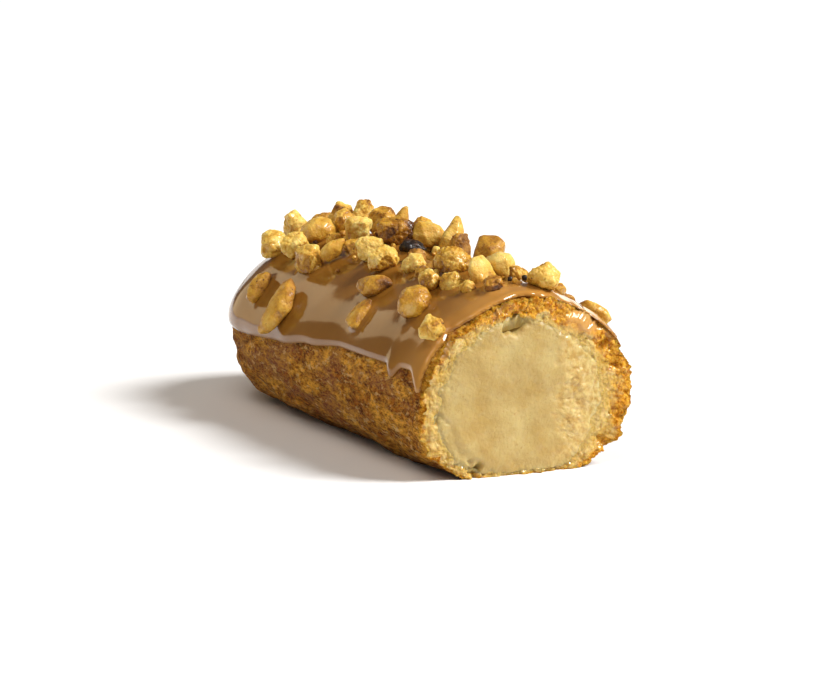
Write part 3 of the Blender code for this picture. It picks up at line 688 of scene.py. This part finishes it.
def height_over_icing(place):
    """How far a point is from the icing's outer face, outward from the axis, and that direction."""
    axis = Vector((max(place.x, END_X), 0, WAIST))
    away = place - axis
    turn = math.atan2(away.y, -away.x) if place.x < END_X else math.copysign(math.pi / 2, away.y)
    angle = math.atan2(away.z, math.hypot(away.x, away.y))
    surface = icing_point(axis.x, turn, angle)
    return away.length - (surface - axis).length, away.normalized()


def build_icing(material, feet):
    """The icing: a thin closed skin over the crown, drawn up a little round each nut piece."""
    mesh = bmesh.new()
    layers = [mesh.verts.layers.float.new("thin")]
    front = CUT_X - ICING_BACK
    outer, inner, marks = [], [], []
    for x, turn in ribs(END_X, front, ICING_STATIONS, ICING_FAN):
        share = (x - END_X) / (front - END_X)
        low = PASTRY.angle_at(edge_height(x, turn))
        outer_row, inner_row, mark_row = [], [], []
        for i in range(ICING_STEPS + 1):
            down = 1 - (1 - i / ICING_STEPS) ** ICING_POWER
            angle = math.pi / 2 + (low - math.pi / 2) * down
            ragged = wave(PASTRY.point(CUT_X, turn, angle), ICING_RAGGED_LENGTH, offset=115)
            reached = icing_front(angle, turn) + ICING_RAGGED * ragged
            station = END_X + (reached - END_X) * share
            ahead = (1 - share) * (CUT_X - END_X)
            right = smooth_step(*NOSE_FADE, math.sin(turn) * math.cos(angle))
            length = ICING_NOSE + (ICING_NOSE_RIGHT - ICING_NOSE) * right
            nose = math.sqrt(1 - (1 - min(1.0, ahead / length)) ** 2)
            edge = math.sqrt(max(0.0, 1 - max(0.0, (down - LIP_FROM) / (1.001 - LIP_FROM)) ** 2))
            plain = icing_thickness(min(down, LIP_ROUNDS), ICING_BACK + ahead)
            thick = (icing_gap(angle) + plain) * nose
            thick *= EDGE_LEAST + (1 - EDGE_LEAST) * edge
            thick *= 1 - ICING_THINNED * (1 - smooth_step(0, ICING_THINNED_LENGTH, ahead))
            p = PASTRY.point(station, turn, angle, lambda p, a: crust(p, a) + thick)
            out = PASTRY.outward(turn, angle)
            flat = 1 - smooth_step(*RIPPLE_FADE, down)
            p += out * flat * nose * (layered(p, RIPPLES, 110) - RIPPLE_SUNK)
            _, _, distance = feet.find(p)
            p += out * MENISCUS * max(0.0, 1 - distance / MENISCUS_REACH) ** 2
            outer_row.append(p)
            under = PASTRY.point(station, turn, angle, lambda p, a: crust(p, a) - ICING_SUNK)
            inner_row.append(under)
            ragged = THIN_RAGGED * wave(p, THIN_RAGGED_LENGTH, offset=120)
            mark_row.append((1 - smooth_step(0, THIN_LENGTH, ahead - ragged),))
        outer.append(outer_row)
        inner.append(inner_row)
        marks.append(mark_row)
    add_grid(mesh, outer, marks, layers)
    add_grid(mesh, inner, marks, layers)
    add_grid(mesh, [[row[-1] for row in outer], [row[-1] for row in inner]])
    add_grid(mesh, [outer[0], inner[0]])
    add_grid(mesh, [outer[-1], inner[-1]])
    finish_piece("icing_glossy", mesh, material, ["icing"])


def refined(mesh, voxel):
    """Fine even mesh data from a closed bmesh, with its edges softened."""
    data = bpy.data.meshes.new("coarse")
    mesh.to_mesh(data)
    mesh.free()
    ob = bpy.data.objects.new("coarse", data)
    bpy.context.scene.collection.objects.link(ob)
    remesh = ob.modifiers.new("remesh", "REMESH")
    remesh.mode = "VOXEL"
    remesh.voxel_size = voxel
    soften = ob.modifiers.new("soften", "SMOOTH")
    soften.factor = 0.5
    soften.iterations = 1
    evaluated = ob.evaluated_get(bpy.context.evaluated_depsgraph_get())
    fine = bpy.data.meshes.new_from_object(evaluated)
    bpy.data.objects.remove(ob)
    bpy.data.meshes.remove(data)
    return fine


def set_marks(data, name, values):
    """Stores one number a point, for a material to read."""
    layer = data.attributes.new(name, "FLOAT", "POINT")
    layer.data.foreach_set("value", values)


def break_faces(data, rng, count, share):
    """Cuts flat faces off a piece, and gives each point the tone of the face it is on."""
    tones = [0.0] * len(data.vertices)
    for _ in range(count):
        across = Vector([rng.gauss(0, 1) for _ in range(3)]).normalized()
        heights = [v.co.dot(across) for v in data.vertices]
        limit = max(heights) - rng.uniform(0.4, 1.0) * share * (max(heights) - min(heights))
        tone = rng.choice(FACE_TONES)
        for i, (v, height) in enumerate(zip(data.vertices, heights)):
            if height > limit:
                v.co -= across * (height - limit)
                tones[i] = tone
    data.update()
    return tones


def dress_nut(data, shade, surface, gloss, dark_end, seed):
    """Gives a fine nut mesh its broken surface and its shades, with painted shade in its hollows and at
    its foot.
    """
    offset = 130 + 3.7 * seed
    rng = random.Random(seed)
    towards = Vector([rng.uniform(-1, 1) for _ in range(3)]).normalized()
    tones = break_faces(data, rng, *NUT_FACES[surface])
    middle = sum((v.co for v in data.vertices), Vector()) / len(data.vertices)
    size = max((v.co - middle).length for v in data.vertices)
    normals = [v.normal.copy() for v in data.vertices]
    layers = NUT_SURFACES[surface]
    most = 0.5 * sum(depth for _, depth in layers)
    upward = Vector((0, middle.y, middle.z - WAIST)).normalized()
    lowest = min(v.co.dot(upward) for v in data.vertices)
    shades = []
    for v, normal, tone in zip(data.vertices, normals, tones):
        relief = layered(v.co, layers, offset)
        relief += clumps(v.co, NUT_CLUMPS[surface], offset)
        spot = smooth_step(*SPOT_EDGE, wave(v.co, SPOT_LENGTH, offset + 9))
        end = smooth_step(*DARK_END, (v.co - middle).dot(towards) / size)
        shade_here = shade + tone + CLOUD_SHADE * wave(v.co, CLOUD_LENGTH, offset + 5)
        # Painted shade in the hollows of the relief and painted light on its bumps
        shade_here += SPOT_SHADE * spot - PAINTED_HOLLOW_SHADE * relief / most + dark_end * end
        # Painted shade: darker towards the foot of the piece, near the icing
        shade_here += PAINTED_FOOT_SHADE * (1 - smooth_step(0, PAINTED_FOOT_SHADE_HEIGHT, v.co.dot(upward) - lowest))
        shades.append(min(1.0, max(0.0, shade_here)))
        v.co += normal * (relief + NUT_SWELL)
    set_marks(data, "shade", shades)
    set_marks(data, "gloss", [gloss] * len(shades))


def build_nuts(material):
    """One piece for each larger nut piece of the solids, sunk a little into the icing."""
    feet = []
    for i, name in enumerate(sorted(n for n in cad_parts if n.startswith("nut_"))):
        mesh = bmesh.new()
        mesh.from_mesh(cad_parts[name].data)
        bmesh.ops.remove_doubles(mesh, verts=mesh.verts, dist=MERGE)
        lowest = min((height_over_icing(v.co) for v in mesh.verts), key=lambda found: found[0])
        mesh.transform(Matrix.Translation(-lowest[1] * NUT_SUNK))
        data = refined(mesh, NUT_VOXEL)
        rng = random.Random(i)
        plain = (rng.choice(FAR_SHADES), "chunk", 0.3, rng.choice((0.0, 0.3)))
        dress_nut(data, *NUT_LOOKS.get(name[4:], plain), i)
        feet += [v.co.copy() for v in data.vertices if height_over_icing(v.co)[0] < FOOT_REACH]
        place_piece("chopped" + name[3:], data, material, [name])
    return feet


def clusters_on_icing():
    """Points of each smaller nut piece that is fused to the icing's solid."""
    mesh = bmesh.new()
    mesh.from_mesh(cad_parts["icing"].data)
    bmesh.ops.remove_doubles(mesh, verts=mesh.verts, dist=MERGE)
    raised = {v for v in mesh.verts if height_over_icing(v.co)[0] > CLUSTER_RAISED}
    found = []
    mesh.verts.index_update()
    while raised:
        # A set has no fixed order, so each cluster starts from its lowest index
        first = min(raised, key=lambda v: v.index)
        raised.remove(first)
        open_ones, group = [first], []
        while open_ones:
            v = open_ones.pop()
            group.append(v)
            for edge in v.link_edges:
                other = edge.other_vert(v)
                if other in raised:
                    raised.remove(other)
                    open_ones.append(other)
        places = []
        for v in group:
            places.append(v.co.copy())
            height, out = height_over_icing(v.co)
            places.append(v.co - out * (height + CLUSTER_ROOT))
        if len(group) >= CLUSTER_POINTS:
            found.append(places)
    mesh.free()
    return sorted(found, key=lambda places: (places[0].x, places[0].y))


def hull(places):
    """Closed bmesh round some points."""
    mesh = bmesh.new()
    for p in places:
        mesh.verts.new(p)
    made = bmesh.ops.convex_hull(mesh, input=mesh.verts)
    inside = [v for v in made["geom_interior"] if isinstance(v, bmesh.types.BMVert)]
    bmesh.ops.delete(mesh, geom=inside, context="VERTS")
    return mesh


def joined(datas, name):
    """One mesh from several, keeping their stored numbers."""
    mesh = bmesh.new()
    for data in datas:
        mesh.from_mesh(data)
        bpy.data.meshes.remove(data)
    together = bpy.data.meshes.new(name)
    mesh.to_mesh(together)
    mesh.free()
    return together


def build_fused_nuts(material):
    """The smaller nut pieces that the icing's solid carries, as one piece."""
    datas, feet = [], []
    for i, places in enumerate(clusters_on_icing()):
        data = refined(hull(places), CRUMB_VOXEL)
        rng = random.Random(500 + i)
        surface = rng.choice(("chunk", "chunk", "crisp"))
        dress_nut(data, rng.choice(FAR_SHADES), surface, 0.3, rng.choice((0.0, 0.0, 0.4)), 500 + i)
        feet += [v.co.copy() for v in data.vertices if abs(height_over_icing(v.co)[0]) < FOOT_REACH]
        datas.append(data)
    place_piece("nut_bits", joined(datas, "nut_bits"), material, ["icing"])
    return feet


def scattered_bits(count, seed, sizes, across, shades):
    """Small broken bits on the icing, at true size, as a list of fine meshes."""
    rng = random.Random(seed)
    datas = []
    for i in range(count):
        x = rng.uniform(*SCATTERED_ALONG) * MM
        y = rng.gauss(0, across) * MM
        past_end = math.hypot(min(0, x - END_X), y) > SCATTERED_END
        if abs(y) > SCATTERED_EDGE * across * MM or past_end:
            continue
        spot, normal = icing_surface(x, y)
        size = rng.uniform(*sizes) * MM * (0.6 if rng.random() < 0.5 else 1)
        shape = [rng.uniform(*BIT_SHAPE) for _ in range(3)]
        corners = []
        for _ in range(BIT_CORNERS):
            corner = Vector([rng.gauss(0, 1) for _ in range(3)]).normalized() * BIT_HALF * size
            squeezed = Vector([c * k for c, k in zip(corner, shape)])
            corners.append(spot + normal * BIT_RAISED * size + squeezed)
        data = refined(hull(corners), BIT_VOXEL)
        dress_nut(data, rng.uniform(*shades), "smooth", 0.3, 0.0, seed + i)
        datas.append(data)
    return datas


class Nodes:
    """Short calls that build one material's nodes."""

    def __init__(self, name):
        self.material = bpy.data.materials.new(name)
        self.material.use_nodes = True
        self.tree = self.material.node_tree
        self.shader = self.tree.nodes["Principled BSDF"]
        self.place = self.add("ShaderNodeTexCoord").outputs["Object"]

    def add(self, kind, **settings):
        """A node with its settings."""
        node = self.tree.nodes.new(kind)
        for key, value in settings.items():
            setattr(node, key, value)
        return node

    def link(self, source, target):
        """Joins an output to an input."""
        self.tree.links.new(source, target)

    def mark(self, name):
        """A number stored on the mesh."""
        return self.add("ShaderNodeAttribute", attribute_name=name).outputs["Fac"]

    def stretched(self, factor):
        """Makes the patterns that follow longer along the eclair."""
        scaled = self.add("ShaderNodeVectorMath", operation="MULTIPLY")
        scaled.inputs[1].default_value = (1 / factor, 1, 1)
        self.link(self.place, scaled.inputs[0])
        self.place = scaled.outputs[0]

    def noise(self, size, detail=4.0, rough=0.55, offset=0.0):
        """Noise whose lumps have this size."""
        moved = self.add("ShaderNodeVectorMath", operation="ADD")
        moved.inputs[1].default_value = (offset, 2 * offset, -offset)
        self.link(self.place, moved.inputs[0])
        node = self.add("ShaderNodeTexNoise")
        node.inputs["Scale"].default_value = 1 / size
        node.inputs["Detail"].default_value = detail
        node.inputs["Roughness"].default_value = rough
        self.link(moved.outputs[0], node.inputs["Vector"])
        return node.outputs["Fac"]

    def cells(self, size):
        """Distance to the nearest of the points scattered this far apart."""
        node = self.add("ShaderNodeTexVoronoi")
        node.inputs["Scale"].default_value = 1 / size
        self.link(self.place, node.inputs["Vector"])
        return node.outputs["Distance"]

    def ramp(self, value, *stops):
        """Colours or greys by value: pairs of place and colour or grey."""
        node = self.add("ShaderNodeValToRGB")
        elements = node.color_ramp.elements
        while len(elements) < len(stops):
            elements.new(0.5)
        for element, (position, colour) in zip(elements, stops):
            element.position = position
            element.color = (colour,) * 3 + (1,) if isinstance(colour, (int, float)) else (*colour, 1)
        self.link(value, node.inputs["Fac"])
        return node.outputs["Color"]

    def mix(self, share, first, second):
        """Two colours mixed. Each may be a colour or an output, and so may the share."""
        node = self.add("ShaderNodeMix", data_type="RGBA")
        for target, value in ((0, share), (6, first), (7, second)):
            if isinstance(value, bpy.types.NodeSocket):
                self.link(value, node.inputs[target])
            elif isinstance(value, tuple):
                node.inputs[target].default_value = (*value, 1)
            else:
                node.inputs[target].default_value = value
        return node.outputs[2]

    def math(self, operation, first, second, clamp=False):
        """A sum, product or comparison of two numbers or outputs."""
        node = self.add("ShaderNodeMath", operation=operation, use_clamp=clamp)
        for i, value in enumerate((first, second)):
            if isinstance(value, bpy.types.NodeSocket):
                self.link(value, node.inputs[i])
            else:
                node.inputs[i].default_value = value
        return node.outputs[0]

    def bump(self, height, distance):
        """Fine relief of the surface."""
        node = self.add("ShaderNodeBump")
        node.inputs["Distance"].default_value = distance
        node.inputs["Strength"].default_value = 1.0
        self.link(height, node.inputs["Height"])
        self.link(node.outputs["Normal"], self.shader.inputs["Normal"])

    def set(self, **values):
        """Sets or links the shader's own sockets, whose names have _ for a space."""
        for key, value in values.items():
            socket = self.shader.inputs[key.replace("_", " ")]
            if isinstance(value, bpy.types.NodeSocket):
                self.link(value, socket)
            else:
                socket.default_value = value


def cream_tint(n):
    """The cream's colour, with paler clouds and tiny specks."""
    clouds = n.ramp(n.noise(7 * MM, 5), (0.38, 0), (0.66, 1))
    tint = n.mix(clouds, (0.41, 0.265, 0.068), (0.50, 0.37, 0.135))
    specks = n.ramp(n.noise(0.5 * MM, 3, 0.5, 4), (0.62, 0), (0.70, 1))
    return n.mix(n.math("MULTIPLY", specks, 0.5), tint, (0.36, 0.20, 0.04))


def mottled(n, dark, light):
    """Crumb mottled in two colours."""
    return n.mix(n.ramp(n.noise(1.6 * MM, 6), (0.38, 0), (0.62, 1)), dark, light)


def wet_spots(n):
    """Small wet spots on the crumb."""
    return n.ramp(n.noise(1.1 * MM, 4, 0.6, 5), (0.45, 0), (0.6, 0.9))


def choux_material():
    """Baked crust outside, torn pale crumb at the cut."""
    n = Nodes("choux_baked")
    height = n.add("ShaderNodeSeparateXYZ")
    n.link(n.place, height.inputs[0])
    n.stretched(CRUST_STRETCH)
    grain = n.ramp(n.noise(1.0 * MM, 8, 0.72), (0.43, 0), (0.57, 1))
    fine = n.ramp(n.noise(0.45 * MM, 4, 0.6, 7), (0.46, 0), (0.58, 1))
    patches = n.ramp(n.noise(4.5 * MM, 4, 0.6, 3), (0.42, 0), (0.58, 1))
    smears = n.ramp(n.noise(9 * MM, 6, 0.65, 9), (0.54, 0), (0.62, 1))
    golden = n.mix(grain, (0.30, 0.086, 0.003), (0.92, 0.44, 0.052))
    baked = n.mix(grain, (0.10, 0.024, 0.002), (0.42, 0.125, 0.010))
    outside = n.mix(patches, baked, golden)
    outside = n.mix(n.math("MULTIPLY", smears, 0.6), outside, (0.26, 0.088, 0.042))
    outside = n.mix(n.math("MULTIPLY", fine, 0.3), outside, (0.90, 0.47, 0.08))
    # Pale flecks on the crust: partly its pale grains, partly painted highlights for glints
    flecks_and_glints = n.ramp(n.noise(1.1 * MM, 4, 0.6, 13), (0.57, 0), (0.65, 1))
    outside = n.mix(n.math("MULTIPLY", flecks_and_glints, 0.55), outside, (0.88, 0.56, 0.22))
    under = n.ramp(n.math("DIVIDE", height.outputs["Z"], 10 * MM), (0.02, 1), (0.5, 0))
    outside = n.mix(n.math("MULTIPLY", under, 0.5), outside, (0.13, 0.045, 0.006))
    toasted = n.mix(grain, (0.46, 0.148, 0.004), (0.90, 0.48, 0.06))
    toasted = n.mix(n.math("MULTIPLY", fine, 0.5), toasted, (0.74, 0.31, 0.012))
    crumb = mottled(n, (0.67, 0.42, 0.10), (0.81, 0.60, 0.235))
    # Painted shade: holes in the crumb darker and more amber the further they lie back
    crumb = n.mix(n.math("MULTIPLY", n.mark("hole_shade"), 0.85), crumb, (0.68, 0.35, 0.04))
    way = n.math("ADD", n.mark("share"), n.math("MULTIPLY", n.noise(1.8 * MM, 4), 0.7))
    inside = n.mix(n.ramp(way, (0.85, 0), (1.2, 0.7)), crumb, (0.60, 0.40, 0.115))
    inside = n.mix(n.mark("toasted"), inside, toasted)
    cut = n.ramp(n.mark("share"), (0.0, 0), (0.03, 1))
    baked_skin = n.mix(n.mark("toasted"), outside, toasted)
    coloured = n.mix(cut, baked_skin, inside)
    run = n.mark("run")
    n.set(Base_Color=n.mix(run, coloured, (0.52, 0.27, 0.07)))
    n.set(Roughness=0.75, Specular_IOR_Level=0.08)
    wet = n.math("MULTIPLY", wet_spots(n), cut)
    n.set(Coat_Weight=n.math("MAXIMUM", wet, run), Coat_Roughness=0.1)
    n.set(Subsurface_Weight=0.3, Subsurface_Radius=(2, 1.1, 0.3), Subsurface_Scale=MM)
    pitted = n.math("ADD", n.noise(0.5 * MM, 8, 0.75), n.math("MULTIPLY", n.cells(0.9 * MM), 0.9))
    depth = n.math("SUBTRACT", 1.0, n.math("MULTIPLY", cut, 0.5))
    n.bump(n.math("MULTIPLY", pitted, n.math("SUBTRACT", depth, run, clamp=True)), 1.1 * MM)
    return n.material


def cream_material():
    """Smooth coffee-and-vanilla cream with tiny specks, and crumb over its right side."""
    n = Nodes("cream")
    bits = mottled(n, (0.48, 0.285, 0.06), (0.64, 0.465, 0.165))
    n.set(Base_Color=n.mix(n.mark("crumb"), cream_tint(n), bits))
    n.set(Roughness=n.ramp(n.noise(3 * MM, 4), (0.4, 0.3), (0.6, 0.55)))
    n.set(Subsurface_Weight=0.3, Subsurface_Radius=(4, 2.2, 0.8), Subsurface_Scale=MM)
    moist = n.ramp(n.noise(1.8 * MM, 5, 0.65, 6), (0.56, 0), (0.64, 0.6))
    n.set(Coat_Weight=n.mix(n.mark("crumb"), moist, wet_spots(n)), Coat_Roughness=0.12)
    n.bump(n.noise(0.6 * MM, 6, 0.6), 0.16 * MM)
    return n.material


def icing_material():
    """Glossy caramel-brown icing, lighter where it thins out towards the cut."""
    n = Nodes("icing_glossy")
    body = n.mix(n.noise(12 * MM, 3), (0.20, 0.080, 0.010), (0.30, 0.132, 0.021))
    n.set(Base_Color=n.mix(n.mark("thin"), body, (0.43, 0.20, 0.04)))
    n.set(Roughness=0.08, Specular_IOR_Level=0.42, Coat_Weight=0.05, Coat_Roughness=0.02)
    n.set(Subsurface_Weight=0.12, Subsurface_Radius=(2.5, 1.2, 0.4), Subsurface_Scale=MM)
    n.bump(n.noise(2.5 * MM, 3), 0.02 * MM)
    return n.material


def nut_material():
    """Roasted nut pieces, from pale cream to dark brown by their stored shade."""
    n = Nodes("chopped_nut")
    grain = n.math("MULTIPLY", n.math("SUBTRACT", n.noise(0.7 * MM, 7, 0.7), 0.5), 0.4)
    specks = n.ramp(n.noise(0.9 * MM, 2, 0.5, 8), (0.69, 0), (0.73, 0.4))
    shade = n.math("ADD", n.math("ADD", n.mark("shade"), grain), specks, clamp=True)
    colour = n.ramp(
        shade,
        (0.0, (0.81, 0.62, 0.19)),
        (0.2, (0.75, 0.48, 0.09)),
        (0.38, (0.58, 0.30, 0.026)),
        (0.56, (0.34, 0.14, 0.012)),
        (0.75, (0.10, 0.033, 0.006)),
        (1.0, (0.012, 0.006, 0.004)),
    )
    n.set(Base_Color=colour)
    rough = n.math("MULTIPLY", n.math("SUBTRACT", 1.0, n.mark("gloss")), 0.6)
    n.set(Roughness=n.math("ADD", rough, 0.12), Specular_IOR_Level=0.35)
    oiled = n.ramp(n.noise(1.2 * MM, 3, 0.5, 17), (0.48, 0), (0.6, 0.7))
    n.set(Coat_Weight=oiled, Coat_Roughness=0.16)
    n.set(Subsurface_Weight=0.3, Subsurface_Radius=(2.0, 1.2, 0.4), Subsurface_Scale=MM)
    grit = n.math("ADD", n.noise(0.35 * MM, 5, 0.6), n.math("MULTIPLY", n.cells(0.45 * MM), 0.6))
    n.bump(grit, 0.16 * MM)
    return n.material


def build_camera():
    """The photograph's view: a long lens, slightly above the cut end."""
    azimuth, elevation, distance = math.radians(64.0), math.radians(10.5), 0.88
    aim = Vector((6.6 * MM, 0, 16.9 * MM))
    flat = math.cos(elevation)
    back = Vector((math.sin(azimuth) * flat, -math.cos(azimuth) * flat, math.sin(elevation)))
    data = bpy.data.cameras.new("camera")
    data.lens, data.sensor_width = 180, 36
    camera = bpy.data.objects.new("camera", data)
    camera.location = aim + back * distance
    camera.rotation_mode = "QUATERNION"
    camera.rotation_quaternion = (-back).to_track_quat("-Z", "Y")
    bpy.context.scene.collection.objects.link(camera)
    bpy.context.scene.camera = camera


def add_light(name, data, direction, distance, energy, colour=(1, 1, 1)):
    """A lamp in this direction from the eclair, shining at it."""
    data.energy, data.color = energy, colour
    lamp = bpy.data.objects.new(name, data)
    towards = Vector(direction).normalized()
    lamp.location = towards * distance
    lamp.rotation_mode = "QUATERNION"
    lamp.rotation_quaternion = (-towards).to_track_quat("-Z", "Y")
    lamp.visible_camera = False
    bpy.context.scene.collection.objects.link(lamp)


def add_sun(name, direction, energy, degrees):
    """A far lamp whose disc is this wide, for soft shadows."""
    data = bpy.data.lights.new(name, "SUN")
    data.angle = math.radians(degrees)
    add_light(name, data, direction, 1.0, energy)


def add_card(name, direction, distance, energy, width, height, colour):
    """A flat lit card, which also shows as a reflection in the icing."""
    data = bpy.data.lights.new(name, "AREA")
    data.shape = "RECTANGLE"
    data.size, data.size_y = width, height
    add_light(name, data, direction, distance, energy, colour)


def build_studio():
    """Pale floor, a soft sun from the back right, a card overhead and three that the icing mirrors."""
    bpy.ops.mesh.primitive_plane_add(size=12, location=(0, 0, 0))
    floor = bpy.context.object
    floor.name = "floor"
    n = Nodes("floor")
    n.set(Base_Color=n.mix(n.noise(0.4), (0.88, 0.88, 0.88), (0.9, 0.9, 0.9)))
    n.set(Roughness=0.9, Specular_IOR_Level=0.0)
    floor.data.materials.append(n.material)
    world = bpy.data.worlds.new("studio")
    bpy.context.scene.world = world
    world.use_nodes = True
    world.node_tree.nodes["Background"].inputs["Color"].default_value = (1, 1, 1, 1)
    world.node_tree.nodes["Background"].inputs["Strength"].default_value = 0.12
    add_sun("key", (0.452, 0.559, 0.695), energy=4.6, degrees=26)
    add_card("box", (-0.87, -0.27, 0.31), 0.33, 0.088, 0.12, 0.18, colour=(1, 0.78, 0.46))
    add_card("backdrop", (-0.72, 0.66, 0.2), 0.5, 0.1, 0.16, 0.1, colour=(1, 0.95, 0.85))
    add_card("horizon", (-0.94, 0.30, 0.13), 0.5, 0.07, 0.26, 0.07, colour=(1, 0.96, 0.9))
    add_card("overhead", (0.35, -0.4, 0.85), 0.9, 3.0, 0.6, 0.6, colour=(1, 0.9, 0.8))
    bpy.context.scene.view_settings.view_transform = "Standard"


def foot_tree(feet):
    """Finds the point of a nut piece that is nearest to a place."""
    tree = KDTree(len(feet))
    for i, foot in enumerate(feet):
        tree.insert(foot, i)
    tree.balance()
    return tree


build_camera()
build_studio()
nut_look = nut_material()
build_shell(choux_material())
build_cream(cream_material())
nut_feet = build_nuts(nut_look) + build_fused_nuts(nut_look)
build_icing(icing_material(), foot_tree(nut_feet))
for kind, kind_slot, *settings in SCATTERED:
    place_piece(kind, joined(scattered_bits(*settings), kind), nut_look)
